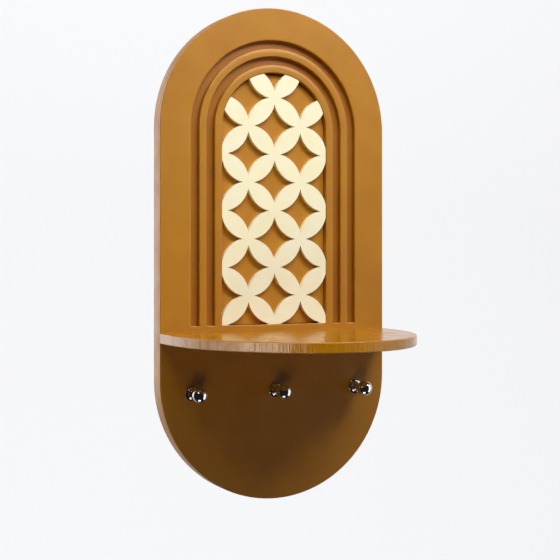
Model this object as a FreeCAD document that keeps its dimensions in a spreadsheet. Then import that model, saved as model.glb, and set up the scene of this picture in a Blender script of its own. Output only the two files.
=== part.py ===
import FreeCAD, Part
import math
import os
import Sketcher

V = FreeCAD.Vector

# Wall key holder: an upright board with round ends, two sunk arches round a
# sunk niche that holds a pierced lattice, a shelf and three knobs below it.
# Frame: X across, +Z up, the back of the board on y = 0, the front at -Y,
# origin at the middle of the back. Lengths in millimetres.

SIZES = [
    ("board_width", 150.0, "board, side to side; both ends are half circles"),
    ("board_height", 304.0, "board, end to end"),
    ("board_thick", 12.0, "board, back to front"),
    ("board_front_round", 0.5, "rounding of the board's front edge"),
    ("board_back_bevel", 0.5, "bevel of the board's back edge"),
    ("relief_round", 0.6, "rounding of the edges of the sunk arches"),
    ("groove_depth", 3.0, "depth of the two arched grooves"),
    ("outer_groove_rim", 20.0, "board edge to the outer groove"),
    ("groove_width", 5.0, "width of each groove"),
    ("rib_width", 5.0, "rib between one groove and the next"),
    ("niche_width", 70.0, "width of the niche"),
    ("niche_depth", 6.0, "depth of the niche"),
    ("relief_foot", 44.0, "centre of the board down to the foot of the arches"),
    ("lattice_thick", 3.0, "lattice, back to front"),
    ("lattice_sink", 0.4, "lattice face below the board's face"),
    ("lattice_fit", 0.05, "clearance all round the lattice in the niche"),
    ("lattice_rise", 2.0, "middle of the arch up to the nearest crossings"),
    ("petal_overlap", 0.38, "way that a petal's arcs run past the middle of a crossing"),
    ("shelf_top", 48.0, "centre of the board down to the shelf's top"),
    ("shelf_thick", 6.0, "shelf thickness"),
    ("shelf_depth", 110.0, "shelf, board to its front"),
    ("shelf_side", 20.0, "straight part of the shelf's sides"),
    ("shelf_round", 0.5, "rounding of the shelf's edges"),
    ("knob_inset", 20.0, "side of the board to the outer knobs"),
    ("knob_drop", 84.5, "centre of the board down to the knobs"),
    ("knob_head", 4.75, "radius of a knob's ball"),
    ("knob_reach", 18.8, "board's face to the tip of a knob"),
    ("knob_neck", 2.5, "radius of a knob's neck"),
    ("knob_foot", 4.5, "radius of a knob's foot"),
    ("knob_foot_thick", 1.6, "thickness of a knob's foot"),
    ("knob_cove", 2.0, "hollow between a knob's foot and neck"),
    ("knob_bore_depth", 8.5, "depth of the threaded bore in a knob"),
    ("knob_screw", 1.5, "radius of a knob screw"),
    ("knob_screw_length", 16.0, "knob screw under its head"),
    ("knob_screw_head", 2.8, "radius of a knob screw's head"),
    ("knob_screw_head_thick", 2.0, "thickness of a knob screw's head"),
    ("knob_screw_head_bevel", 0.7, "bevel of a knob screw's head"),
    ("knob_screw_tip_bevel", 0.4, "bevel of a knob screw's tip"),
    ("knob_screw_recess", 3.0, "depth of the recess behind a knob"),
    ("knob_screw_recess_radius", 3.4, "radius of the recess behind a knob"),
    ("knob_screw_play", 0.25, "play round a knob screw in the board"),
    ("thread_gap", 0.02, "gap between a screw and the thread that it fills"),
    ("shelf_screw_inset", 25.0, "side of the board to the outer shelf screws"),
    ("shelf_screw", 1.5, "radius of a shelf screw"),
    ("shelf_screw_length", 30.0, "shelf screw from head to point"),
    ("shelf_screw_head", 3.0, "radius of a shelf screw's head"),
    ("shelf_screw_slope", 45.0, "slope of the cone under a shelf screw's head"),
    ("shelf_screw_sink", 0.5, "shelf screw's head below the back"),
    ("shelf_screw_play", 0.2, "play round a shelf screw in the board"),
    ("shelf_screw_point", 4.0, "length of a shelf screw's point"),
    ("shelf_screw_tip", 0.3, "radius of a shelf screw's blunt tip"),
    ("pilot_spare", 1.0, "pilot hole past a shelf screw's tip"),
    ("hanger_drop", 10.0, "start of the arch down to the slots' entry holes"),
    ("hanger_entry", 4.0, "radius of a slot's entry hole"),
    ("hanger_slot", 2.1, "half the width of a slot"),
    ("hanger_travel", 8.0, "way that a screw slides up in a slot"),
    ("hanger_lip", 3.0, "thickness of the lip that holds a screw's head"),
    ("hanger_depth", 7.5, "depth of a slot"),
]

doc = FreeCAD.newDocument("WallKeyHolder")
sheet = doc.addObject("Spreadsheet::Sheet", "Sizes")
for line, (alias, value, note) in enumerate(SIZES, start=1):
    sheet.set("A%d" % line, alias)
    sheet.set("B%d" % line, repr(value))
    sheet.set("C%d" % line, note)
    sheet.setAlias("B%d" % line, alias)
doc.recompute()
S = {alias: value for alias, value, note in SIZES}
TOUCH = 1e-4


def sized(text):
    """Write a formula of sheet names as an expression."""
    words = text.replace("(", " ( ").replace(")", " ) ").split()
    return " ".join("Sizes." + w if w in S else w for w in words)


def value_of(text):
    """Work the same formula out as a number."""
    return read_sum(text.replace("(", " ( ").replace(")", " ) ").split())


def read_sum(words):
    number = read_product(words)
    while words and words[0] in ("+", "-"):
        sign = words.pop(0)
        other = read_product(words)
        number = number + other if sign == "+" else number - other
    return number


def read_product(words):
    number = read_factor(words)
    while words and words[0] in ("*", "/"):
        sign = words.pop(0)
        other = read_factor(words)
        number = number * other if sign == "*" else number / other
    return number


def read_factor(words):
    word = words.pop(0)
    if word == "(":
        number = read_sum(words)
        words.pop(0)
        return number
    return S[word] if word in S else float(word)


# Drawing helpers

def new_body(label):
    body = doc.addObject("PartDesign::Body", label)
    body.Label = label
    return body


def new_sketch(body, name, role="XZ_Plane", out=None):
    """Sketch on one of the body's own planes, out along its normal."""
    plane = [f for f in body.Origin.OriginFeatures if f.Role == role][0]
    sketch = body.newObject("Sketcher::SketchObject", name)
    sketch.AttachmentSupport = [(plane, "")]
    sketch.MapMode = "FlatFace"
    if out:
        sketch.AttachmentOffset = FreeCAD.Placement(V(0, 0, value_of(out)), FreeCAD.Rotation())
        sketch.setExpression("AttachmentOffset.Base.z", sized(out))
    return sketch


def drive(sketch, name, kind, refs, text):
    """Add one driven dimension to a sketch and bind it to the sheet."""
    number = sketch.addConstraint(Sketcher.Constraint(kind, *refs, value_of(text)))
    sketch.renameConstraint(number, name)
    sketch.setExpression("Constraints." + name, sized(text))


def join(sketch, *pairs):
    for first, first_end, second, second_end in pairs:
        sketch.addConstraint(Sketcher.Constraint("Coincident", first, first_end, second, second_end))


def draw_arch(sketch, tag, half, centre, foot, feet=None):
    """Arch: straight sides and a half circle on top, on one foot or on two.

    One foot joins the sides. With a second half width in feet, the arch is a
    band: the feet run in from its sides to the band's inner arch.
    """
    w, zc, zf = value_of(half), value_of(centre), -value_of(foot)
    right = sketch.addGeometry(Part.LineSegment(V(w, zf, 0), V(w, zc, 0)))
    circle = Part.Circle(V(0, zc, 0), V(0, 0, 1), w)
    top = sketch.addGeometry(Part.ArcOfCircle(circle, 0, math.pi))
    left = sketch.addGeometry(Part.LineSegment(V(-w, zc, 0), V(-w, zf, 0)))
    join(sketch, (right, 2, top, 1), (top, 2, left, 1))
    sketch.addConstraint(Sketcher.Constraint("Vertical", right))
    sketch.addConstraint(Sketcher.Constraint("Vertical", left))
    sketch.addConstraint(Sketcher.Constraint("PointOnObject", top, 3, -2))
    sketch.addConstraint(Sketcher.Constraint("Horizontal", top, 3, top, 1))
    drive(sketch, tag + "_half", "Radius", (top,), half)
    drive(sketch, tag + "_centre", "DistanceY", (-1, 1, top, 3), centre)
    drive(sketch, tag + "_foot", "DistanceY", (right, 1, -1, 1), foot)
    if feet is None:
        base = sketch.addGeometry(Part.LineSegment(V(-w, zf, 0), V(w, zf, 0)))
        join(sketch, (base, 2, right, 1), (left, 2, base, 1))
        sketch.addConstraint(Sketcher.Constraint("Horizontal", base))
        return
    n = value_of(feet)
    foot_right = sketch.addGeometry(Part.LineSegment(V(n, zf, 0), V(w, zf, 0)))
    in_right = sketch.addGeometry(Part.LineSegment(V(n, zc, 0), V(n, zf, 0)))
    inner = Part.Circle(V(0, zc, 0), V(0, 0, 1), n)
    in_top = sketch.addGeometry(Part.ArcOfCircle(inner, 0, math.pi))
    in_left = sketch.addGeometry(Part.LineSegment(V(-n, zf, 0), V(-n, zc, 0)))
    foot_left = sketch.addGeometry(Part.LineSegment(V(-w, zf, 0), V(-n, zf, 0)))
    join(sketch, (foot_right, 2, right, 1), (foot_right, 1, in_right, 2), (in_right, 1, in_top, 1),
         (in_top, 2, in_left, 2), (in_left, 1, foot_left, 2), (foot_left, 1, left, 2))
    for line in (foot_right, foot_left):
        sketch.addConstraint(Sketcher.Constraint("Horizontal", line))
    for line in (in_right, in_left):
        sketch.addConstraint(Sketcher.Constraint("Vertical", line))
    join(sketch, (in_top, 3, top, 3))
    sketch.addConstraint(Sketcher.Constraint("Horizontal", foot_left, 2, foot_right, 1))
    drive(sketch, tag + "_inner_half", "Radius", (in_top,), feet)


def draw_stadium(sketch, half, centre):
    """Outline with a half circle at each end, centred on the origin."""
    w, zc = value_of(half), value_of(centre)
    up = Part.Circle(V(0, zc, 0), V(0, 0, 1), w)
    down = Part.Circle(V(0, -zc, 0), V(0, 0, 1), w)
    top = sketch.addGeometry(Part.ArcOfCircle(up, 0, math.pi))
    left = sketch.addGeometry(Part.LineSegment(V(-w, zc, 0), V(-w, -zc, 0)))
    end = sketch.addGeometry(Part.ArcOfCircle(down, math.pi, 2 * math.pi))
    right = sketch.addGeometry(Part.LineSegment(V(w, -zc, 0), V(w, zc, 0)))
    for a, ea, b, eb in ((top, 2, left, 1), (left, 2, end, 1), (end, 2, right, 1), (right, 2, top, 1)):
        sketch.addConstraint(Sketcher.Constraint("Tangent", a, ea, b, eb))
    sketch.addConstraint(Sketcher.Constraint("Vertical", left))
    sketch.addConstraint(Sketcher.Constraint("PointOnObject", top, 3, -2))
    drive(sketch, "half", "Radius", (top,), half)
    drive(sketch, "centre_up", "DistanceY", (-1, 1, top, 3), centre)
    drive(sketch, "centre_down", "DistanceY", (end, 3, -1, 1), centre)


def draw_circle(sketch, tag, x, y, radius, x_text=None, y_text=None):
    """Circle at x, y, each bound to the sheet when a formula is given."""
    ring = sketch.addGeometry(Part.Circle(V(x, y, 0), V(0, 0, 1), value_of(radius)))
    drive(sketch, tag + "_radius", "Radius", (ring,), radius)
    if x_text is None:
        sketch.addConstraint(Sketcher.Constraint("PointOnObject", ring, 3, -2))
    elif x > 0:
        drive(sketch, tag + "_across", "DistanceX", (-1, 1, ring, 3), x_text)
    else:
        drive(sketch, tag + "_across", "DistanceX", (ring, 3, -1, 1), x_text)
    if y > 0:
        drive(sketch, tag + "_up", "DistanceY", (-1, 1, ring, 3), y_text)
    else:
        drive(sketch, tag + "_down", "DistanceY", (ring, 3, -1, 1), y_text)


def add_pad(body, sketch, name, length):
    pad = body.newObject("PartDesign::Pad", name)
    pad.Profile = sketch
    pad.Length = value_of(length)
    pad.setExpression("Length", sized(length))
    doc.recompute()
    return pad


def add_pocket(body, sketch, name, depth, turned=False):
    """Cut a sketch into the body and make sure that it took material."""
    before = body.Shape.Volume
    cut = body.newObject("PartDesign::Pocket", name)
    cut.Profile = sketch
    cut.Length = value_of(depth)
    cut.setExpression("Length", sized(depth))
    cut.Reversed = turned
    doc.recompute()
    if body.Shape.Volume >= before - 0.01:
        raise RuntimeError(name + " takes nothing away")
    return cut


def add_round(body, name, size, wanted, kind="Fillet"):
    """Round or bevel the edges of the body's tip that the test picks."""
    tip = body.Tip
    names = ["Edge%d" % (i + 1) for i, e in enumerate(tip.Shape.Edges) if wanted(e)]
    edging = body.newObject("PartDesign::" + kind, name)
    edging.Base = (tip, names)
    setting = "Radius" if kind == "Fillet" else "Size"
    setattr(edging, setting, value_of(size))
    edging.setExpression(setting, sized(size))
    doc.recompute()
    return edging


def lies_on_y(edge, y):
    return abs(edge.BoundBox.YMin - y) < TOUCH and abs(edge.BoundBox.YMax - y) < TOUCH


# Backboard

ARCH_CENTRE = "board_height / 2 - board_width / 2"
OUTER = "board_width / 2 - outer_groove_rim"
KNOB_ACROSS = "board_width / 2 - knob_inset"
SHELF_SCREW_ACROSS = "board_width / 2 - shelf_screw_inset"
SHELF_MIDDLE = "shelf_top + shelf_thick / 2"
HANGER_ACROSS = "board_width / 2 - outer_groove_rim / 2"
HANGER_LOW = ARCH_CENTRE + " - hanger_drop"
FRONT = -S["board_thick"]


def make_backboard():
    body = new_body("backboard")
    outline = new_sketch(body, "board_outline")
    draw_stadium(outline, "board_width / 2", ARCH_CENTRE)
    add_pad(body, outline, "board_blank", "board_thick")

    edge = OUTER
    for number in (1, 2):
        ring = new_sketch(body, "groove_%d_outline" % number, out="board_thick")
        inner = edge + " - groove_width"
        draw_arch(ring, "band", edge, ARCH_CENTRE, "relief_foot", feet=inner)
        add_pocket(body, ring, "groove_%d" % number, "groove_depth")
        edge = inner + " - rib_width"

    niche = new_sketch(body, "niche_outline", out="board_thick")
    draw_arch(niche, "niche", "niche_width / 2", ARCH_CENTRE, "relief_foot")
    add_pocket(body, niche, "niche", "niche_depth")

    add_round(body, "relief_edges", "relief_round", is_relief_edge)
    add_round(body, "board_front_edge", "board_front_round",
              lambda e: lies_on_y(e, FRONT) and is_rim_edge(e))
    add_round(body, "board_back_edge", "board_back_bevel",
              lambda e: lies_on_y(e, 0.0) and is_rim_edge(e), kind="Chamfer")

    bore_board(body)
    return body


def is_rim_edge(edge):
    """True for the edges of the board's own outline."""
    half, centre = value_of("board_width / 2"), value_of(ARCH_CENTRE)
    points = [edge.valueAt(edge.FirstParameter + t * (edge.LastParameter - edge.FirstParameter))
              for t in (0.1, 0.5, 0.9)]
    for p in points:
        past = max(abs(p.z) - centre, 0.0)
        if abs(math.hypot(p.x, past) - half) > 0.01:
            return False
    return True


def is_relief_edge(edge):
    return lies_on_y(edge, FRONT) and not is_rim_edge(edge)


def three_across(text):
    """Three places across the board, with the formula that each is bound to."""
    far = value_of(text)
    return ((-far, text), (0.0, None), (far, text))


def bore_board(body):
    """Holes for the knob screws and shelf screws, and the hanging slots."""
    drop = S["knob_drop"]
    holes = new_sketch(body, "knob_holes")
    seats = new_sketch(body, "knob_recesses")
    for i, (x, text) in enumerate(three_across(KNOB_ACROSS)):
        draw_circle(holes, "k%d" % i, x, -drop, "knob_screw + knob_screw_play", text, "knob_drop")
        draw_circle(seats, "k%d" % i, x, -drop, "knob_screw_recess_radius", text, "knob_drop")
    add_pocket(body, holes, "knob_hole_cut", "board_thick", turned=True)
    add_pocket(body, seats, "knob_recess_cut", "knob_screw_recess", turned=True)

    drop = value_of(SHELF_MIDDLE)
    holes = new_sketch(body, "shelf_holes")
    heads = new_sketch(body, "shelf_head_recesses")
    cones = new_sketch(body, "shelf_head_cones", out="shelf_screw_sink")
    for i, (x, text) in enumerate(three_across(SHELF_SCREW_ACROSS)):
        draw_circle(holes, "f%d" % i, x, -drop, "shelf_screw + shelf_screw_play", text, SHELF_MIDDLE)
        for sketch in (heads, cones):
            draw_circle(sketch, "f%d" % i, x, -drop, "shelf_screw_head + shelf_screw_play", text,
                        SHELF_MIDDLE)
    add_pocket(body, holes, "shelf_hole_cut", "board_thick", turned=True)
    add_pocket(body, heads, "shelf_head_cut", "shelf_screw_sink", turned=True)
    taper = add_pocket(body, cones, "shelf_cone_cut", "shelf_screw_head - shelf_screw", turned=True)
    taper.TaperAngle = -S["shelf_screw_slope"]
    taper.setExpression("TaperAngle", "0 - Sizes.shelf_screw_slope")
    doc.recompute()
    add_hangers(body)


def draw_slot(sketch, tag, side, half, low, high):
    """Upright slot with round ends on one side of the board."""
    x, w = side * value_of(HANGER_ACROSS), value_of(half)
    z1, z2 = value_of(low), value_of(high)
    up = Part.Circle(V(x, z2, 0), V(0, 0, 1), w)
    down = Part.Circle(V(x, z1, 0), V(0, 0, 1), w)
    top = sketch.addGeometry(Part.ArcOfCircle(up, 0, math.pi))
    left = sketch.addGeometry(Part.LineSegment(V(x - w, z2, 0), V(x - w, z1, 0)))
    end = sketch.addGeometry(Part.ArcOfCircle(down, math.pi, 2 * math.pi))
    right = sketch.addGeometry(Part.LineSegment(V(x + w, z1, 0), V(x + w, z2, 0)))
    for a, ea, b, eb in ((top, 2, left, 1), (left, 2, end, 1), (end, 2, right, 1), (right, 2, top, 1)):
        sketch.addConstraint(Sketcher.Constraint("Tangent", a, ea, b, eb))
    sketch.addConstraint(Sketcher.Constraint("Vertical", left))
    across = (-1, 1, top, 3) if side > 0 else (top, 3, -1, 1)
    drive(sketch, tag + "_across", "DistanceX", across, HANGER_ACROSS)
    drive(sketch, tag + "_half", "Radius", (top,), half)
    drive(sketch, tag + "_low", "DistanceY", (-1, 1, end, 3), low)
    drive(sketch, tag + "_high", "DistanceY", (-1, 1, top, 3), high)


def add_hangers(body):
    """Two keyhole slots in the back, each behind the middle of the board's rim."""
    low, top = HANGER_LOW, HANGER_LOW + " + hanger_travel"
    entries = new_sketch(body, "hanger_entries")
    slots = new_sketch(body, "hanger_slots")
    rooms = new_sketch(body, "hanger_rooms", out="hanger_lip")
    for side, tag in ((-1, "left"), (1, "right")):
        x = side * value_of(HANGER_ACROSS)
        draw_circle(entries, tag, x, value_of(low), "hanger_entry", HANGER_ACROSS, low)
        draw_slot(slots, tag, side, "hanger_slot", low, top)
        draw_slot(rooms, tag, side, "hanger_entry", low, top)
    add_pocket(body, entries, "hanger_entry_cut", "hanger_depth", turned=True)
    add_pocket(body, slots, "hanger_slot_cut", "hanger_depth", turned=True)
    add_pocket(body, rooms, "hanger_room_cut", "hanger_depth - hanger_lip", turned=True)


# Lattice panel: crossings on a square grid and one more in the middle of each
# square. The grid's pitch is half the niche, so that the outer crossings stand
# on its sides, and it hangs from the arch. Every petal lies between two arcs,
# so what is cut away is rows of four-cornered windows with hollow sides.

LATTICE_BACK = "board_thick - lattice_sink - lattice_thick"
LATTICE_HALF = "niche_width / 2 - lattice_fit"
PITCH = "niche_width / 2"
HALF_PITCH = "niche_width / 4"
PETAL_ARC = HALF_PITCH + " + petal_overlap"
CROSSING_LINE = ARCH_CENTRE + " + lattice_rise"


def window_reach():
    """Middle of a window to each of its four corners."""
    half, arc = value_of(HALF_PITCH), value_of(PETAL_ARC)
    return half - math.sqrt(arc * arc - half * half)


def draw_window(sketch, x, y):
    """Window between four crossings, centred on x, y."""
    half, arc, tip = value_of(HALF_PITCH), value_of(PETAL_ARC), window_reach()
    ends = [V(x + tip, y, 0), V(x, y + tip, 0), V(x - tip, y, 0), V(x, y - tip, 0)]
    centres = [V(x + half, y + half, 0), V(x - half, y + half, 0),
               V(x - half, y - half, 0), V(x + half, y - half, 0)]
    sides = []
    for i in range(4):
        a, b, c = ends[i], ends[(i + 1) % 4], centres[i]
        start = math.atan2(b.y - c.y, b.x - c.x)
        stop = math.atan2(a.y - c.y, a.x - c.x)
        circle = Part.Circle(c, V(0, 0, 1), arc)
        sides.append(sketch.addGeometry(Part.ArcOfCircle(circle, start, stop)))
    for i in range(4):
        join(sketch, (sides[i], 1, sides[(i + 1) % 4], 2))
    drive(sketch, "arc", "Radius", (sides[0],), PETAL_ARC)
    for other in sides[1:]:
        sketch.addConstraint(Sketcher.Constraint("Equal", sides[0], other))
    sketch.addConstraint(Sketcher.Constraint("Vertical", sides[0], 3, sides[3], 3))
    sketch.addConstraint(Sketcher.Constraint("Vertical", sides[1], 3, sides[2], 3))
    sketch.addConstraint(Sketcher.Constraint("Horizontal", sides[0], 3, sides[1], 3))
    sketch.addConstraint(Sketcher.Constraint("Horizontal", sides[2], 3, sides[3], 3))
    drive(sketch, "wide", "DistanceX", (sides[1], 3, sides[0], 3), PITCH)
    drive(sketch, "tall", "DistanceY", (sides[3], 3, sides[0], 3), PITCH)
    return sides


def half_pitches(room, odd):
    """Most half pitches, odd or even in number, that a length has room for."""
    count = int(room / value_of(HALF_PITCH))
    return count if count % 2 == odd else count - 1


def add_windows(body, name, columns, odd):
    """Cut the lowest window on the left, then repeat it across and up the panel.

    Its rows stand an odd or an even number of half pitches from the crossings
    beside the middle of the arch.
    """
    above = value_of(LATTICE_HALF + " - lattice_rise") + window_reach()
    below = value_of(CROSSING_LINE + " + relief_foot") + window_reach()
    up, down = half_pitches(above, odd), half_pitches(below, odd)
    left = "%s * %d" % (HALF_PITCH, columns - 1)
    low = "%s * %d - ( %s )" % (HALF_PITCH, down, CROSSING_LINE)
    sketch = new_sketch(body, name + "_outline", out=LATTICE_BACK)
    sides = draw_window(sketch, -value_of(left), -value_of(low))
    drive(sketch, "left", "DistanceX", (sides[1], 3, -1, 1), left + " + " + HALF_PITCH)
    drive(sketch, "low", "DistanceY", (sides[2], 3, -1, 1), low + " + " + HALF_PITCH)
    cut = add_pocket(body, sketch, name, "lattice_thick", turned=True)
    many = body.newObject("PartDesign::MultiTransform", name + "_grid")
    many.Originals = [cut]
    steps = []
    for axis, count in (("H_Axis", columns), ("V_Axis", 1 + (up + down) // 2)):
        row = body.newObject("PartDesign::LinearPattern", name + "_" + axis[0])
        row.Direction = (sketch, [axis])
        row.Length = value_of(PITCH) * (count - 1)
        row.setExpression("Length", sized("%s * %d" % (PITCH, count - 1)))
        row.Occurrences = count
        steps.append(row)
    many.Transformations = steps
    body.Tip = many
    doc.recompute()
    return many


def circles_over_arch():
    """Pattern circles centred past the panel's arch that still reach into it.

    What they bound inside the arch is only the loose end of a petal. Each is
    given by its half pitches across, and up from the crossings by the arch.
    """
    half, arc, radius = value_of(HALF_PITCH), value_of(PETAL_ARC), value_of(LATTICE_HALF)
    found = []
    for up in range(1, 6):
        for across in range(1, 6):
            x, z = across * half, up * half + S["lattice_rise"]
            past = math.hypot(x, z) - radius
            if (across + up) % 2 == 0 and z > arc and 0 < past < arc:
                found.append((across, up))
    return found


def make_lattice():
    body = new_body("lattice_panel")
    outline = new_sketch(body, "lattice_outline", out=LATTICE_BACK)
    draw_arch(outline, "edge", LATTICE_HALF, ARCH_CENTRE, "relief_foot - lattice_fit")
    add_pad(body, outline, "lattice_blank", "lattice_thick")

    add_windows(body, "side_windows", columns=2, odd=1)
    add_windows(body, "middle_windows", columns=3, odd=0)

    circles = circles_over_arch()
    if circles:
        shoulders = new_sketch(body, "shoulder_discs", out=LATTICE_BACK)
        for i, (across, up) in enumerate(circles):
            far = "%s * %d" % (HALF_PITCH, across)
            rise = "%s + %s * %d" % (CROSSING_LINE, HALF_PITCH, up)
            for side, tag in ((-1, "left"), (1, "right")):
                draw_circle(shoulders, tag + str(i), side * value_of(far), value_of(rise),
                            PETAL_ARC, far, rise)
        add_pocket(body, shoulders, "open_shoulders", "lattice_thick", turned=True)
    return body


# Shelf: straight sides, then an oval front of three arcs. The tip's arc has an
# ellipse's radius there, and the side arcs run tangent into it and the sides.

NOSE_RADIUS = "board_width * board_width / 4 / ( shelf_depth - shelf_side )"


def draw_oval_front(sketch, right, left):
    """Three tangent arcs from the right side's end to the left side's."""
    half, deep = value_of("board_width / 2"), value_of("shelf_depth - shelf_side")
    start = -value_of("board_thick + shelf_side")
    nose = value_of(NOSE_RADIUS)
    side = deep * (half + deep) / (2 * half)
    lean = math.atan2((half + deep) / deep, (2 * half + deep) / (2 * half))
    tip_circle = Part.Circle(V(0, start - deep + nose, 0), V(0, 0, 1), nose)
    tip = sketch.addGeometry(Part.ArcOfCircle(tip_circle, lean - math.pi, -lean))
    right_circle = Part.Circle(V(half - side, start, 0), V(0, 0, 1), side)
    right_arc = sketch.addGeometry(Part.ArcOfCircle(right_circle, -lean, 0))
    left_circle = Part.Circle(V(side - half, start, 0), V(0, 0, 1), side)
    left_arc = sketch.addGeometry(Part.ArcOfCircle(left_circle, math.pi, math.pi + lean))
    for a, ea, b, eb in ((right, 2, right_arc, 2), (right_arc, 1, tip, 2),
                         (tip, 1, left_arc, 2), (left_arc, 1, left, 1)):
        sketch.addConstraint(Sketcher.Constraint("Tangent", a, ea, b, eb))
    sketch.addConstraint(Sketcher.Constraint("PointOnObject", tip, 3, -2))
    drive(sketch, "nose", "Radius", (tip,), NOSE_RADIUS)
    drive(sketch, "nose_centre", "DistanceY", (tip, 3, -1, 1),
          "board_thick + shelf_depth - " + NOSE_RADIUS)


def make_shelf():
    body = new_body("shelf")
    sketch = new_sketch(body, "shelf_outline", role="XY_Plane", out="0 - shelf_top - shelf_thick")
    half, side, face = value_of("board_width / 2"), S["shelf_side"], -S["board_thick"]
    back = sketch.addGeometry(Part.LineSegment(V(-half, face, 0), V(half, face, 0)))
    right = sketch.addGeometry(Part.LineSegment(V(half, face, 0), V(half, face - side, 0)))
    left = sketch.addGeometry(Part.LineSegment(V(-half, face - side, 0), V(-half, face, 0)))
    join(sketch, (back, 2, right, 1), (left, 2, back, 1))
    sketch.addConstraint(Sketcher.Constraint("Vertical", right))
    sketch.addConstraint(Sketcher.Constraint("Vertical", left))
    sketch.addConstraint(Sketcher.Constraint("Symmetric", back, 1, back, 2, -2))
    drive(sketch, "width", "DistanceX", (back, 1, back, 2), "board_width")
    drive(sketch, "face", "DistanceY", (back, 2, -1, 1), "board_thick")
    drive(sketch, "side", "DistanceY", (right, 2, right, 1), "shelf_side")
    draw_oval_front(sketch, right, left)
    add_pad(body, sketch, "shelf_blank", "shelf_thick")

    def is_open_edge(edge):
        flat = abs(edge.BoundBox.ZMin - edge.BoundBox.ZMax) < TOUCH
        return flat and edge.BoundBox.YMin < face - TOUCH
    add_round(body, "shelf_edges", "shelf_round", is_open_edge)

    pilots = new_sketch(body, "pilot_holes", out="board_thick")
    drop = value_of(SHELF_MIDDLE)
    for i, (x, text) in enumerate(three_across(SHELF_SCREW_ACROSS)):
        draw_circle(pilots, "f%d" % i, x, -drop, "shelf_screw + thread_gap", text, SHELF_MIDDLE)
    add_pocket(body, pilots, "pilot_cut",
               "shelf_screw_sink + shelf_screw_length - board_thick + pilot_spare", turned=True)
    return body


# Knobs and screws, each turned about its own axis along Y

def turn(body, name, sketch):
    spin = body.newObject("PartDesign::Revolution", name)
    spin.Profile = sketch
    spin.ReferenceAxis = (sketch, ["V_Axis"])
    spin.Angle = 360.0
    doc.recompute()
    return spin


def profile(sketch, points):
    """Closed outline through x, y points, each bound when it has formulas."""
    count = len(points)
    lines = []
    for i in range(count):
        a, b = points[i], points[(i + 1) % count]
        lines.append(sketch.addGeometry(Part.LineSegment(
            V(value_of(a[0]), -value_of(a[1]), 0), V(value_of(b[0]), -value_of(b[1]), 0))))
    for i in range(count):
        join(sketch, (lines[i], 2, lines[(i + 1) % count], 1))
    for i, (x, y) in enumerate(points):
        if value_of(x) == 0:
            sketch.addConstraint(Sketcher.Constraint("PointOnObject", lines[i], 1, -2))
        else:
            drive(sketch, "x%d" % i, "DistanceX", (-1, 1, lines[i], 1), x)
        if value_of(y) == 0:
            sketch.addConstraint(Sketcher.Constraint("PointOnObject", lines[i], 1, -1))
        elif value_of(y) > 0:
            drive(sketch, "y%d" % i, "DistanceY", (lines[i], 1, -1, 1), y)
    return lines


def make_knob(label, x_text):
    """Foot, hollowed neck and ball, with a threaded bore in the foot."""
    body = new_body(label)
    sketch = new_sketch(body, label + "_outline", role="XY_Plane")
    neck, head, cove = S["knob_neck"], S["knob_head"], S["knob_cove"]
    thick, reach = S["knob_foot_thick"], S["knob_reach"]
    ball = reach - head
    meet = ball - math.sqrt(head * head - neck * neck)
    foot = sketch.addGeometry(Part.LineSegment(V(0, 0, 0), V(S["knob_foot"], 0, 0)))
    side = sketch.addGeometry(Part.LineSegment(V(S["knob_foot"], 0, 0), V(S["knob_foot"], -thick, 0)))
    circle = Part.Circle(V(neck + cove, -thick - cove, 0), V(0, 0, 1), cove)
    hollow = sketch.addGeometry(Part.ArcOfCircle(circle, math.pi / 2, math.pi))
    shank = sketch.addGeometry(Part.LineSegment(V(neck, -thick - cove, 0), V(neck, -meet, 0)))
    start = math.atan2(-(reach - ball), 0.0)
    stop = math.atan2(ball - meet, neck)
    sphere = Part.Circle(V(0, -ball, 0), V(0, 0, 1), head)
    top = sketch.addGeometry(Part.ArcOfCircle(sphere, start, stop))
    axis = sketch.addGeometry(Part.LineSegment(V(0, -reach, 0), V(0, 0, 0)))
    join(sketch, (foot, 2, side, 1), (side, 2, hollow, 1), (hollow, 2, shank, 1),
         (shank, 2, top, 2), (top, 1, axis, 1), (axis, 2, foot, 1))
    sketch.addConstraint(Sketcher.Constraint("Coincident", foot, 1, -1, 1))
    sketch.addConstraint(Sketcher.Constraint("PointOnObject", foot, 2, -1))
    sketch.addConstraint(Sketcher.Constraint("Vertical", side))
    sketch.addConstraint(Sketcher.Constraint("Vertical", shank))
    sketch.addConstraint(Sketcher.Constraint("PointOnObject", axis, 1, -2))
    sketch.addConstraint(Sketcher.Constraint("PointOnObject", top, 3, -2))
    sketch.addConstraint(Sketcher.Constraint("Vertical", hollow, 3, side, 2))
    sketch.addConstraint(Sketcher.Constraint("Horizontal", hollow, 3, shank, 1))
    drive(sketch, "foot", "DistanceX", (-1, 1, foot, 2), "knob_foot")
    drive(sketch, "foot_thick", "DistanceY", (side, 2, side, 1), "knob_foot_thick")
    drive(sketch, "neck", "DistanceX", (-1, 1, shank, 1), "knob_neck")
    drive(sketch, "head", "Radius", (top,), "knob_head")
    drive(sketch, "ball", "DistanceY", (top, 3, -1, 1), "knob_reach - knob_head")
    turn(body, label + "_turned", sketch)

    bore = new_sketch(body, label + "_bore_outline", role="XZ_Plane")
    ring = bore.addGeometry(Part.Circle(V(0, 0, 0), V(0, 0, 1), value_of("knob_screw + thread_gap")))
    bore.addConstraint(Sketcher.Constraint("Coincident", ring, 3, -1, 1))
    drive(bore, "bore", "Radius", (ring,), "knob_screw + thread_gap")
    add_pocket(body, bore, label + "_bore", "knob_bore_depth", turned=True)
    place(body, x_text, "0 - board_thick", "0 - knob_drop")
    return body


def place(thing, x, y, z):
    thing.Placement = FreeCAD.Placement(V(value_of(x), value_of(y), value_of(z)), FreeCAD.Rotation())
    for axis, text in (("x", x), ("y", y), ("z", z)):
        thing.setExpression("Placement.Base." + axis, sized(text))


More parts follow.
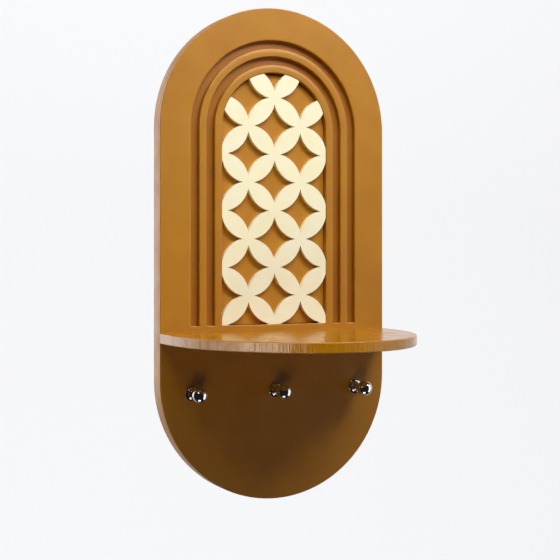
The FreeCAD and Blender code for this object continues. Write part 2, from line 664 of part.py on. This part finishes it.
def make_screws(label, outline, across, drop):
    """One turned screw, set three times in a row as separate solids."""
    body = new_body(label + "_one")
    sketch = new_sketch(body, label + "_outline", role="XY_Plane")
    profile(sketch, outline)
    turn(body, label + "_turned", sketch)
    group = doc.addObject("Part::Compound", label)
    group.Label = label
    links = []
    for i, x in enumerate(("0 - ( " + across + " )", "0", across)):
        copy = doc.addObject("App::Link", "%s_%d" % (label, i))
        copy.LinkedObject = body
        copy.LinkTransform = True
        copy.Placement = FreeCAD.Placement(V(value_of(x), 0, 0), FreeCAD.Rotation())
        copy.setExpression("Placement.Base.x", sized(x))
        links.append(copy)
    group.Links = links
    place(group, "0", "0", "0 - ( " + drop + " )")
    doc.recompute()
    return group


KNOB_SCREW_OUTLINE = [
    ("0", "knob_screw_recess - knob_screw_head_thick"),
    ("knob_screw_head - knob_screw_head_bevel", "knob_screw_recess - knob_screw_head_thick"),
    ("knob_screw_head", "knob_screw_recess - knob_screw_head_thick + knob_screw_head_bevel"),
    ("knob_screw_head", "knob_screw_recess"),
    ("knob_screw", "knob_screw_recess"),
    ("knob_screw", "knob_screw_recess + knob_screw_length - knob_screw_tip_bevel"),
    ("knob_screw - knob_screw_tip_bevel", "knob_screw_recess + knob_screw_length"),
    ("0", "knob_screw_recess + knob_screw_length"),
]
SHELF_SCREW_OUTLINE = [
    ("0", "shelf_screw_sink"),
    ("shelf_screw_head", "shelf_screw_sink"),
    ("shelf_screw", "shelf_screw_sink + shelf_screw_head - shelf_screw"),
    ("shelf_screw", "shelf_screw_sink + shelf_screw_length - shelf_screw_point"),
    ("shelf_screw_tip", "shelf_screw_sink + shelf_screw_length"),
    ("0", "shelf_screw_sink + shelf_screw_length"),
]

pieces = [
    make_backboard(),
    make_lattice(),
    make_shelf(),
    make_knob("knob_left", "0 - ( " + KNOB_ACROSS + " )"),
    make_knob("knob_centre", "0"),
    make_knob("knob_right", KNOB_ACROSS),
    make_screws("knob_screws", KNOB_SCREW_OUTLINE, KNOB_ACROSS, "knob_drop"),
    make_screws("shelf_screws", SHELF_SCREW_OUTLINE, SHELF_SCREW_ACROSS, SHELF_MIDDLE),
]

doc.recompute()
for thing in doc.Objects:
    if "Invalid" in thing.State or "Error" in thing.State:
        raise RuntimeError(thing.Name + " failed")
os.makedirs("parts", exist_ok=True)
for piece in pieces:
    shape = piece.Shape
    if shape.isNull() or not shape.isValid():
        raise RuntimeError(piece.Label + " has no valid shape")
    shape.exportStep("parts/%s.step" % piece.Label)
    box = shape.BoundBox
    print("%-14s solids %d volume %9.1f  x %.1f %.1f  y %.1f %.1f  z %.1f %.1f" % (
        piece.Label, len(shape.Solids), shape.Volume,
        box.XMin, box.XMax, box.YMin, box.YMax, box.ZMin, box.ZMax))
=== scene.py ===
import math

import bmesh
import bpy
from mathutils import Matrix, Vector


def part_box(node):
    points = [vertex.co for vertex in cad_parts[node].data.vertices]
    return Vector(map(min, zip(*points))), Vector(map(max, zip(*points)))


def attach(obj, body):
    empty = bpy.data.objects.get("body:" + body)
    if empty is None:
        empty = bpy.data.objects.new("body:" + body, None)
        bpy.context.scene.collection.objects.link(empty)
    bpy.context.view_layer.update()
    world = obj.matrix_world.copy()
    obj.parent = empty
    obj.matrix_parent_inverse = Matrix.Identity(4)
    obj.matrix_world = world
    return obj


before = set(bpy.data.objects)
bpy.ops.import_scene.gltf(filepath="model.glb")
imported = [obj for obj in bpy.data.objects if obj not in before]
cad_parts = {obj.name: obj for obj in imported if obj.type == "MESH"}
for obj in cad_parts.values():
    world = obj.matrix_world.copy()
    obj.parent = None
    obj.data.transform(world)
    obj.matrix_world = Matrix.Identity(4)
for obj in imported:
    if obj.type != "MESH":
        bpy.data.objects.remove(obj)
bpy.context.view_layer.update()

# Wall key holder

# A round-ended board with sunk arches, a cream lattice in the niche, a shelf and
# three small knobs. Metres, X across, +Z up, front at -Y, the board's back at Y 0.

MM_PER_METRE = 1000

# Sockets of the Mix node: two numbers and their result, two colours and theirs
NUMBER_A, NUMBER_B, NUMBER_OUT = 2, 3, 0
COLOUR_A, COLOUR_B, COLOUR_OUT = 6, 7, 2


# Material helpers

def new_finish(name):
    """An empty node material with its shader, and a coordinate to pattern by."""
    finish = bpy.data.materials.new(name)
    finish.use_nodes = True
    nodes = finish.node_tree.nodes
    shader = nodes["Principled BSDF"]
    place = nodes.new("ShaderNodeTexCoord")
    return finish, shader, place.outputs["Object"]


def add_node(finish, kind, **settings):
    """Add a node. A setting in capitals is an input, any other a property."""
    node = finish.node_tree.nodes.new("ShaderNode" + kind)
    for name, value in settings.items():
        if name[0].isupper():
            node.inputs[name.replace("_", " ")].default_value = value
        else:
            setattr(node, name, value)
    return node


def wire(finish, output, socket):
    finish.node_tree.links.new(output, socket)


def axes(finish, vector):
    """The X, Y and Z of a vector, by name."""
    split = add_node(finish, "SeparateXYZ")
    wire(finish, vector, split.inputs["Vector"])
    return split.outputs


def across(finish, along_x, along_y):
    """A flat vector from two numbers, with Z at 0."""
    flat = add_node(finish, "CombineXYZ")
    wire(finish, along_x, flat.inputs["X"])
    wire(finish, along_y, flat.inputs["Y"])
    return flat.outputs["Vector"]


def reckon(finish, operation, first, second=0.0):
    """Work out one number from a socket, and from a second socket or a number."""
    node = add_node(finish, "Math", operation=operation)
    wire(finish, first, node.inputs[0])
    if isinstance(second, bpy.types.NodeSocket):
        wire(finish, second, node.inputs[1])
    else:
        node.inputs[1].default_value = second
    return node.outputs[0]


def rescaled(finish, value, low, high):
    """A value as a share of the way from low to high."""
    span = add_node(finish, "MapRange", From_Min=low, From_Max=high)
    wire(finish, value, span.inputs["Value"])
    return span.outputs["Result"]


def stretched(finish, where, scale):
    """Coordinates stretched so that a pattern runs long where its scale is low."""
    mapping = add_node(finish, "Mapping", Scale=scale)
    wire(finish, where, mapping.inputs["Vector"])
    return mapping.outputs["Vector"]


def cloud(finish, where, scale, detail=3.0, rough=0.55):
    """Soft random pattern from 0 to 1; scale is in cells per metre."""
    noise = add_node(finish, "TexNoise", Scale=scale, Detail=detail, Roughness=rough)
    wire(finish, where, noise.inputs["Vector"])
    return noise.outputs["Fac"]


def ramp(finish, fac, low, high, low_colour, high_colour):
    """Blend from one colour to another while fac goes from low to high."""
    node = add_node(finish, "ValToRGB")
    node.color_ramp.elements[0].position = low
    node.color_ramp.elements[1].position = high
    node.color_ramp.elements[0].color = (*low_colour, 1.0)
    node.color_ramp.elements[1].color = (*high_colour, 1.0)
    wire(finish, fac, node.inputs["Fac"])
    return node.outputs["Color"]


def grey_ramp(finish, fac, low, high, low_value, high_value):
    """Blend from one number to another while fac goes from low to high."""
    return ramp(finish, fac, low, high, (low_value,) * 3, (high_value,) * 3)


def stepped_ramp(finish, value, steps, easing="LINEAR"):
    """Blend through several colours; steps are pairs of a place in mm and a colour."""
    first, last = steps[0][0], steps[-1][0]
    node = add_node(finish, "ValToRGB")
    node.color_ramp.interpolation = easing
    points = node.color_ramp.elements
    while len(points) < len(steps):
        points.new(0.5)
    for point, (place, colour) in zip(points, steps):
        point.position = (place - first) / (last - first)
    for point, (place, colour) in zip(points, steps):
        point.color = (*colour, 1.0)
    share = rescaled(finish, value, low=first / MM_PER_METRE, high=last / MM_PER_METRE)
    wire(finish, share, node.inputs["Fac"])
    return node.outputs["Color"]


def tinted(finish, colour, tint):
    """One colour multiplied by another."""
    node = add_node(finish, "Mix", data_type="RGBA", blend_type="MULTIPLY", Factor=1.0)
    wire(finish, colour, node.inputs[COLOUR_A])
    wire(finish, tint, node.inputs[COLOUR_B])
    return node.outputs[COLOUR_OUT]


def bump(finish, height, distance, strength, under=None):
    """Relief from a height pattern; distance is its depth in metres."""
    node = add_node(finish, "Bump", Distance=distance, Strength=strength)
    wire(finish, height, node.inputs["Height"])
    if under is not None:
        wire(finish, under, node.inputs["Normal"])
    return node.outputs["Normal"]


def srgb(red, green, blue):
    """A colour given on a screen's scale of 0 to 255, made linear."""
    def linear(value):
        value /= 255.0
        return value / 12.92 if value <= 0.04045 else ((value + 0.055) / 1.055) ** 2.4
    return linear(red), linear(green), linear(blue)


# Mesh helpers

def corners_in(geometry):
    """The vertices among what a bmesh operator made."""
    return [part for part in geometry if isinstance(part, bmesh.types.BMVert)]


def finished_piece(name, mesh, finish):
    """A piece at the origin from a bmesh, with its faces turned outwards, in its finish."""
    bmesh.ops.recalc_face_normals(mesh, faces=mesh.faces)
    data = bpy.data.meshes.new(name)
    mesh.to_mesh(data)
    mesh.free()
    data.materials.append(finish)
    piece = bpy.data.objects.new(name, data)
    bpy.context.scene.collection.objects.link(piece)
    return piece


# Caramel paint of the board and the shelf

CARAMEL_LIGHT = srgb(187, 126, 13)
CARAMEL_DEEP = srgb(177, 116, 7)
PAINT_IOR = 1.55
PLAIN = (1.0, 1.0, 1.0)
# Painted shade: how much darker the paint is made down in the sunk rings
GROOVE_SHADE = (0.74, 0.62, 0.5)

# Tint of the board's paint by its Y in mm: painted shade, darker down in the sunk rings where
# shade falls
BOARD_SHADE_BY_DEPTH = ((-12.0, PLAIN), (-11.3, PLAIN), (-9.4, GROOVE_SHADE), (-8.6, GROOVE_SHADE),
                (-7.0, PLAIN), (0.0, PLAIN))

niche_low, niche_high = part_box("lattice_panel")
NICHE_HALF = (niche_high[0] - niche_low[0]) / 2
ARCH_Z = niche_high[2] - NICHE_HALF

# Height of the ribs' paint by its reach from the arch's centre in mm, with soft shoulders
RIB_ROUND = ((34.8, 0.0), (35.4, 0.55), (36.3, 0.92), (37.5, 1.0), (38.8, 0.92), (39.6, 0.55),
             (40.2, 0.0), (44.8, 0.0), (45.4, 0.55), (46.3, 0.92), (47.5, 1.0), (48.8, 0.92),
             (49.6, 0.55), (50.2, 0.0), (54.8, 0.0), (55.6, 0.6), (56.8, 0.95), (58.4, 1.0))

# The ribs end well in front of the board's back, and the tool lines just inside the face
RIBS_BACK_Y = -0.004
TOOL_LINES_END = 0.0548

# How far lines and streaks are drawn out: less makes them longer
TOOL_LINES_DRAWN_OUT = 0.04
STREAKS_DRAWN_OUT = (1.0, 1.0, 0.04)


def arch_reach(finish, where):
    """Distance from the arch's centre, and from the middle line below it.

    Under the niche's foot and on the board's back a metre is added, past every rib.
    """
    place = axes(finish, where)
    rise = reckon(finish, "SUBTRACT", place["Z"], ARCH_Z)
    length = add_node(finish, "VectorMath", operation="LENGTH")
    wire(finish, across(finish, place["X"], reckon(finish, "MAXIMUM", rise)), length.inputs[0])
    under_foot = reckon(finish, "LESS_THAN", place["Z"], niche_low[2])
    on_back = reckon(finish, "GREATER_THAN", place["Y"], RIBS_BACK_Y)
    reach = reckon(finish, "ADD", length.outputs["Value"], under_foot)
    return reckon(finish, "ADD", reach, on_back)


def rounded_ribs(finish, where, under):
    """Bump that rounds the ribs between the sunk rings over, with fine tool lines."""
    reach = arch_reach(finish, where)
    heights = [(place, (height,) * 3) for place, height in RIB_ROUND]
    shoulders = stepped_ramp(finish, reach, heights, easing="EASE")
    rounded = bump(finish, shoulders, distance=0.0009, strength=0.42, under=under)
    along = reckon(finish, "MULTIPLY", axes(finish, where)["Z"], TOOL_LINES_DRAWN_OUT)
    tool_lines = cloud(finish, across(finish, reach, along), scale=1500.0, detail=2.0)
    inside = reckon(finish, "LESS_THAN", reach, TOOL_LINES_END)
    kept = reckon(finish, "MULTIPLY", tool_lines, inside)
    return bump(finish, kept, distance=0.00006, strength=0.5, under=rounded)


def upright_streaks(finish, where, under):
    """Fine upright sanding streaks on a rim; faces that look up or down have none."""
    facing = axes(finish, add_node(finish, "NewGeometry").outputs["True Normal"])
    steep = reckon(finish, "ABSOLUTE", facing["Z"])
    rim = rescaled(finish, steep, low=0.5, high=0.1)
    drawn_out = stretched(finish, where, STREAKS_DRAWN_OUT)
    streaks = cloud(finish, drawn_out, scale=800.0, detail=3.0)
    kept = reckon(finish, "MULTIPLY", streaks, rim)
    return bump(finish, kept, distance=0.0006, strength=1.0, under=under)


def caramel_paint(name, roughness, shade_by_depth=None, streaked=False):
    """Satin caramel paint, sprayed on fibreboard: slight mottle and orange peel."""
    finish, shader, where = new_finish(name)
    mottle = cloud(finish, where, scale=38.0, detail=4.0)
    colour = ramp(finish, mottle, low=0.35, high=0.7, low_colour=CARAMEL_DEEP,
                  high_colour=CARAMEL_LIGHT)
    # Painted shade: the paint is darkened down in the sunk rings, by its depth
    if shade_by_depth is not None:
        depth = axes(finish, where)["Y"]
        colour = tinted(finish, colour, stepped_ramp(finish, depth, shade_by_depth))
    wire(finish, colour, shader.inputs["Base Color"])
    uneven = cloud(finish, where, scale=90.0, detail=5.0)
    sheen = grey_ramp(finish, uneven, low=0.3, high=0.75, low_value=roughness - 0.05,
                      high_value=roughness + 0.07)
    wire(finish, sheen, shader.inputs["Roughness"])
    peel = cloud(finish, where, scale=900.0, detail=2.0)
    surface = bump(finish, peel, distance=0.00002, strength=0.15 if streaked else 0.35)
    if shade_by_depth is not None:
        surface = rounded_ribs(finish, where, surface)
    if streaked:
        surface = upright_streaks(finish, where, surface)
    wire(finish, surface, shader.inputs["Normal"])
    shader.inputs["IOR"].default_value = PAINT_IOR
    return finish


# Cream paint, chrome and zinc

CREAM_LIGHT = srgb(255, 251, 224)
CREAM_DEEP = srgb(253, 246, 208)
CREAM_ROUGHNESS = 0.5
CHROME = (0.82, 0.82, 0.83, 1.0)
ZINC_DEEP = (0.42, 0.42, 0.4)
ZINC_LIGHT = (0.62, 0.62, 0.6)


def cream_paint():
    """Cream paint on the lattice, a little uneven, with a faint grain."""
    finish, shader, where = new_finish("cream_paint")
    mottle = cloud(finish, where, scale=60.0, detail=4.0)
    colour = ramp(finish, mottle, low=0.3, high=0.7, low_colour=CREAM_DEEP,
                  high_colour=CREAM_LIGHT)
    wire(finish, colour, shader.inputs["Base Color"])
    grain = cloud(finish, where, scale=1400.0, detail=3.0)
    wire(finish, bump(finish, grain, distance=0.00003, strength=0.3), shader.inputs["Normal"])
    shader.inputs["Roughness"].default_value = CREAM_ROUGHNESS
    return finish


def chrome_plate():
    """Polished chrome with the finest of handling marks."""
    finish, shader, where = new_finish("chrome_plate")
    smear = cloud(finish, where, scale=420.0, detail=4.0)
    polish = grey_ramp(finish, smear, low=0.35, high=0.8, low_value=0.04, high_value=0.12)
    wire(finish, polish, shader.inputs["Roughness"])
    shader.inputs["Base Color"].default_value = CHROME
    shader.inputs["Metallic"].default_value = 1.0
    return finish


def zinc_plate():
    """Zinc plated screws with a brushed, cloudy coat."""
    finish, shader, where = new_finish("zinc_plate")
    haze = cloud(finish, where, scale=700.0, detail=5.0)
    colour = ramp(finish, haze, low=0.3, high=0.75, low_colour=ZINC_DEEP,
                  high_colour=ZINC_LIGHT)
    wire(finish, colour, shader.inputs["Base Color"])
    dulled = grey_ramp(finish, haze, low=0.3, high=0.75, low_value=0.28, high_value=0.45)
    wire(finish, dulled, shader.inputs["Roughness"])
    shader.inputs["Metallic"].default_value = 1.0
    return finish


def paint_node(node, finish):
    """Give a node of the frame its finish."""
    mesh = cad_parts[node].data
    mesh.materials.clear()
    mesh.materials.append(finish)


paint_node("backboard", caramel_paint("caramel_board", roughness=0.48, shade_by_depth=BOARD_SHADE_BY_DEPTH))
paint_node("shelf", caramel_paint("caramel_shelf", roughness=0.22, streaked=True))
paint_node("lattice_panel", cream_paint())
chrome = chrome_plate()
for knob in ("knob_left", "knob_centre", "knob_right"):
    paint_node(knob, chrome)
zinc = zinc_plate()
for screws in ("knob_screws", "shelf_screws"):
    paint_node(screws, zinc)


# Lining of the niche: a painted sheet on the niche's floor, right behind the lattice

LINING_FIT = 0.0003
LINING_GAP = 0.00004
LINING_STEPS = 64
NICHE_FLOOR_Y = -0.006


def make_lining():
    """Arched sheet, spun round the top and carried down to the niche's foot."""
    mesh = bmesh.new()
    half = NICHE_HALF - LINING_FIT
    foot = niche_low[2] + LINING_FIT
    start = mesh.verts.new((half, NICHE_FLOOR_Y, ARCH_Z))
    turned = bmesh.ops.spin(mesh, geom=[start], cent=(0, NICHE_FLOOR_Y, ARCH_Z), axis=(0, -1, 0),
                            angle=math.pi, steps=LINING_STEPS)
    end = corners_in(turned["geom_last"])[0]
    right = mesh.verts.new((half, NICHE_FLOOR_Y, foot))
    left = mesh.verts.new((-half, NICHE_FLOOR_Y, foot))
    mesh.edges.new((start, right))
    mesh.edges.new((right, left))
    mesh.edges.new((left, end))
    bmesh.ops.contextual_create(mesh, geom=mesh.edges[:])
    pushed = bmesh.ops.extrude_face_region(mesh, geom=mesh.faces[:])
    forward = niche_high[1] + LINING_GAP - NICHE_FLOOR_Y
    bmesh.ops.translate(mesh, verts=corners_in(pushed["geom"]), vec=(0, forward, 0))
    lining = finished_piece("niche_lining", mesh, caramel_paint("caramel_lining", roughness=0.5))
    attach(lining, "root")


make_lining()


# Studio: a pale floor far below that curves up into a pale sweep behind

FLOOR_Z = -1.1
SWEEP_Y = 2.6
SWEEP_ROUND = 1.2
SWEEP_STEPS = 12
STUDIO_WIDE = 16.0
STUDIO_FRONT = -8.0
STUDIO_HIGH = 7.0
STUDIO_GREY = (0.3, 0.3, 0.31, 1.0)
STUDIO_ROUGHNESS = 0.9
STUDIO_GLOW = 0.6
PALE_LIGHT = (0.97, 0.98, 1.0, 1.0)


def make_studio():
    """Floor that curves up into a backdrop; it glows, and throws no light on the object."""
    mesh = bmesh.new()
    centre_y = SWEEP_Y - SWEEP_ROUND
    centre_z = FLOOR_Z + SWEEP_ROUND
    left = -STUDIO_WIDE / 2
    line = [mesh.verts.new((left, STUDIO_FRONT, FLOOR_Z))]
    for step in range(SWEEP_STEPS + 1):
        angle = math.radians(-90 + 90 * step / SWEEP_STEPS)
        line.append(mesh.verts.new((left, centre_y + SWEEP_ROUND * math.cos(angle),
                                    centre_z + SWEEP_ROUND * math.sin(angle))))
    line.append(mesh.verts.new((left, SWEEP_Y, STUDIO_HIGH)))
    edges = [mesh.edges.new(pair) for pair in zip(line, line[1:])]
    made = bmesh.ops.extrude_edge_only(mesh, edges=edges)
    bmesh.ops.translate(mesh, verts=corners_in(made["geom"]), vec=(STUDIO_WIDE, 0, 0))
    finish, shader, _ = new_finish("studio_white")
    shader.inputs["Base Color"].default_value = STUDIO_GREY
    shader.inputs["Roughness"].default_value = STUDIO_ROUGHNESS
    shader.inputs["Emission Color"].default_value = PALE_LIGHT
    shader.inputs["Emission Strength"].default_value = STUDIO_GLOW
    sweep = finished_piece("studio_sweep", mesh, finish)
    for face in sweep.data.polygons:
        face.use_smooth = True
    sweep.visible_diffuse = False
    sweep.visible_glossy = False
    return sweep


# Light: soft panels above and below, pale cards that gloss and chrome mirror

ROOM_BRIGHT = 0.9
ROOM_DIM = 0.012
MIDDLE = (0, 0, 0)
UPPER_ARCH = (0, 0, 0.08)
SMALL_PANEL = (0.35, 0.35)
WARM = (1.0, 0.84, 0.3)
WHITE = (1.0, 1.0, 1.0)


def add_panel(name, place, target, size, watts, shades=True, mirrored=True, lit=None,
              colour=WHITE):
    """Soft light panel at a place, turned to face a target, never seen itself.

    shades and mirrored say whether it gives plain light and shows in reflections,
    and lit is the only thing that it lights.
    """
    light = bpy.data.lights.new(name, "AREA")
    light.shape = "RECTANGLE"
    light.size, light.size_y = size
    light.energy = watts
    light.color = colour
    panel = bpy.data.objects.new(name, light)
    bpy.context.scene.collection.objects.link(panel)
    panel.location = place
    panel.rotation_euler = (Vector(target) - Vector(place)).to_track_quat("-Z", "Y").to_euler()
    panel.visible_camera = False
    panel.visible_diffuse = shades
    panel.visible_glossy = mirrored
    if lit is not None:
        group = bpy.data.collections.new(name + "_lights")
        group.objects.link(lit)
        panel.light_linking.receiver_collection = group


def light_room():
    """A pale room to look at, whose light on the object is dim in front of it."""
    world = bpy.data.worlds.new("pale_room")
    bpy.context.scene.world = world
    world.use_nodes = True
    sky = world.node_tree.nodes["Background"]
    sky.inputs["Color"].default_value = PALE_LIGHT
    direction = axes(world, add_node(world, "TexCoord").outputs["Generated"])
    fade = add_node(world, "MapRange", From_Min=0.2, From_Max=0.7, To_Min=ROOM_DIM,
                    To_Max=ROOM_BRIGHT)
    wire(world, direction["Y"], fade.inputs["Value"])
    seen = add_node(world, "LightPath")
    pick = add_node(world, "Mix")
    wire(world, seen.outputs["Is Camera Ray"], pick.inputs["Factor"])
    wire(world, fade.outputs["Result"], pick.inputs[NUMBER_A])
    pick.inputs[NUMBER_B].default_value = ROOM_BRIGHT
    wire(world, pick.outputs[NUMBER_OUT], sky.inputs["Strength"])


# Camera as in the photograph: level, to the left of the object, its frame shifted down

CAMERA_PLACE = (-0.34621, -0.81917, 0.00642)
CAMERA_TURN = math.radians(23.42)
CAMERA_LENS = 91.0
CAMERA_SENSOR = 36.0
CAMERA_SHIFT = -0.066


def set_camera():
    camera = bpy.data.objects.new("camera", bpy.data.cameras.new("camera"))
    bpy.context.scene.collection.objects.link(camera)
    camera.location = CAMERA_PLACE
    camera.rotation_euler = (math.pi / 2, 0, -CAMERA_TURN)
    camera.data.lens = CAMERA_LENS
    camera.data.sensor_width = CAMERA_SENSOR
    camera.data.shift_y = CAMERA_SHIFT
    bpy.context.scene.camera = camera


sweep = make_studio()
light_room()
add_panel("light_over", place=(0, -0.62, 0.74), target=UPPER_ARCH, size=SMALL_PANEL, watts=4.6)
add_panel("light_over_right", place=(0.42, -0.6, 0.68), target=UPPER_ARCH, size=SMALL_PANEL,
          watts=5.0)
add_panel("light_over_left", place=(-0.4, -0.6, 0.7), target=UPPER_ARCH, size=SMALL_PANEL,
          watts=1.8)
add_panel("light_low", place=(-0.5, -1.3, -0.75), target=MIDDLE, size=(0.8, 0.6), watts=3.9,
          mirrored=False, colour=WARM)
add_panel("card_behind_left", place=(-1.7, 0.9, 0.1), target=MIDDLE, size=(2.0, 1.6), watts=17.0,
          mirrored=False)
add_panel("card_behind_right", place=(1.6, 1.0, 0.1), target=MIDDLE, size=(1.2, 1.2), watts=2.2)
add_panel("card_low", place=(-0.12, -0.3, -1.0), target=MIDDLE, size=(0.4, 0.3), watts=1.2,
          shades=False)
add_panel("card_right", place=(1.85, -0.75, -0.2), target=(0, 0, -0.2), size=(1.5, 3.4),
          watts=21.0, shades=False)
add_panel("card_far_left", place=(-1.2, 1.8, 0.3), target=MIDDLE, size=(1.9, 1.6), watts=19.0,
          shades=False)
add_panel("window_left", place=(-1.86, -0.7, 0.0), target=MIDDLE, size=(0.8, 1.0), watts=26.0,
          shades=False, lit=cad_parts["shelf"])
add_panel("light_sweep", place=(1.2, -1.0, 1.8), target=(1.2, 2.6, 0.3), size=(5.0, 2.0),
          watts=205.0, lit=sweep)
set_camera()
bpy.context.scene.view_settings.view_transform = "Standard"
